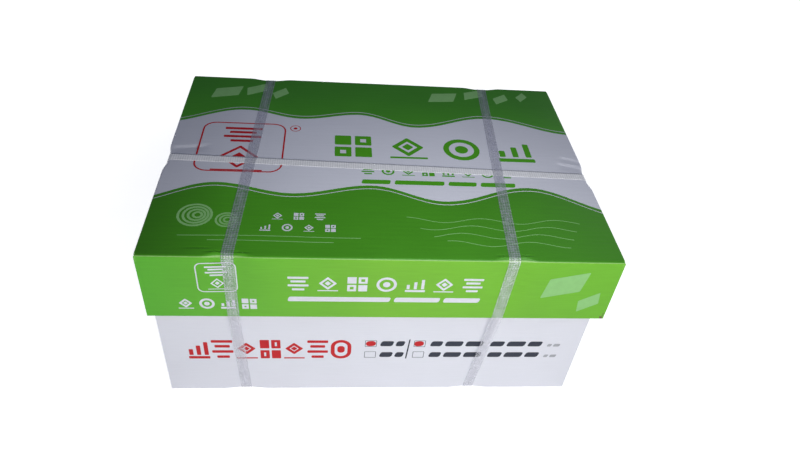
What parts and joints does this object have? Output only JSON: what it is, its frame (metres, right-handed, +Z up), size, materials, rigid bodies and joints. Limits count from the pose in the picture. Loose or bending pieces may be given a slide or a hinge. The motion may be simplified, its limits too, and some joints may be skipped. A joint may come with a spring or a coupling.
{
  "type": "strapped carton of copy paper",
  "caption": "Closed carton of copy paper: a green printed lid over a white tray of wrapped reams, bound crosswise and lengthwise with translucent plastic straps.",
  "frame": {"origin": "middle of the rectangle that the carton covers, on the floor under it", "axes": "+X along the long side, towards the right in the picture, +Y towards the back, +Z up"},
  "size_m": [0.4462, 0.321, 0.203],
  "materials": {
    "lid_board": "printed semi-gloss",
    "tray_board": "coated white",
    "strap": "embossed translucent",
    "ream_wrap": "plain wrapping paper"
  },
  "bodies": {
    "root": {"tray": "tray_board", "lid": "lid_board", "strap_cross_left": "strap", "strap_cross_right": "strap", "strap_long": "strap", "ream_left_1": "ream_wrap", "ream_left_2": "ream_wrap", "ream_left_3": "ream_wrap", "ream_left_4": "ream_wrap", "ream_right_1": "ream_wrap", "ream_right_2": "ream_wrap", "ream_right_3": "ream_wrap", "ream_right_4": "ream_wrap"}
  },
  "joints": []
}
